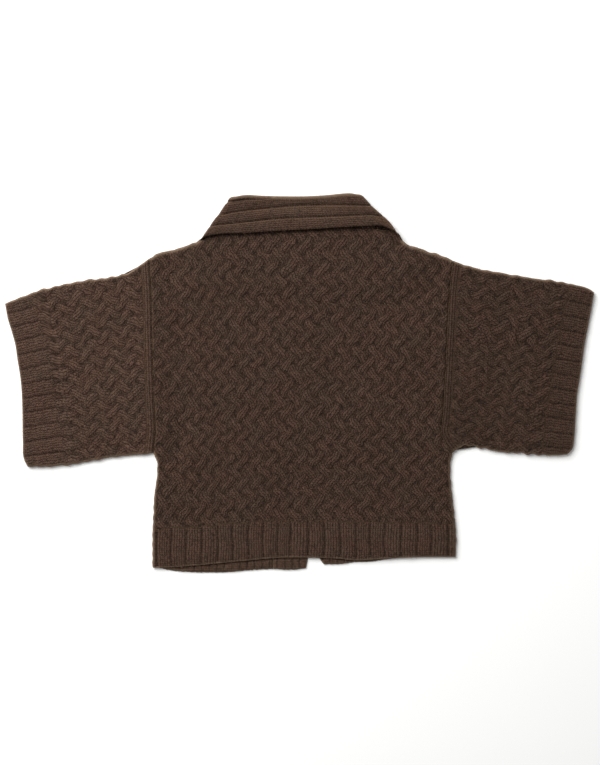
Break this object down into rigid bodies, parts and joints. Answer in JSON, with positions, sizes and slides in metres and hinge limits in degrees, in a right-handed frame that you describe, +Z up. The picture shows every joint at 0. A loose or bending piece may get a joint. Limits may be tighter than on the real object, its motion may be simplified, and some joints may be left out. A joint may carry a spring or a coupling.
{
  "type": "knitted shrug",
  "caption": "Short knitted shrug laid flat, back up: cable-knit body and wide elbow sleeves, ribbed hem and cuffs, open front with bands, folded rib collar.",
  "frame": {"origin": "On the resting surface, under the middle of the box that holds the laid-out garment.", "axes": "+X runs across the shoulders from the wearer's left cuff to the right cuff, +Y runs up the back from the hem to the collar, +Z points up from the surface, out of the back."},
  "size_m": [0.941, 0.6056, 0.0208],
  "materials": {
    "cable_knit": "chunky basket-cable wool knit, matt with a short soft nap",
    "rib_knit": "chunky ribbed wool knit, matt with a short soft nap"
  },
  "bodies": {
    "root": {"back": "cable_knit", "left_front": "cable_knit", "right_front": "cable_knit", "left_sleeve": "cable_knit", "right_sleeve": "cable_knit", "left_band": "rib_knit", "right_band": "rib_knit", "collar": "rib_knit"}
  },
  "joints": []
}
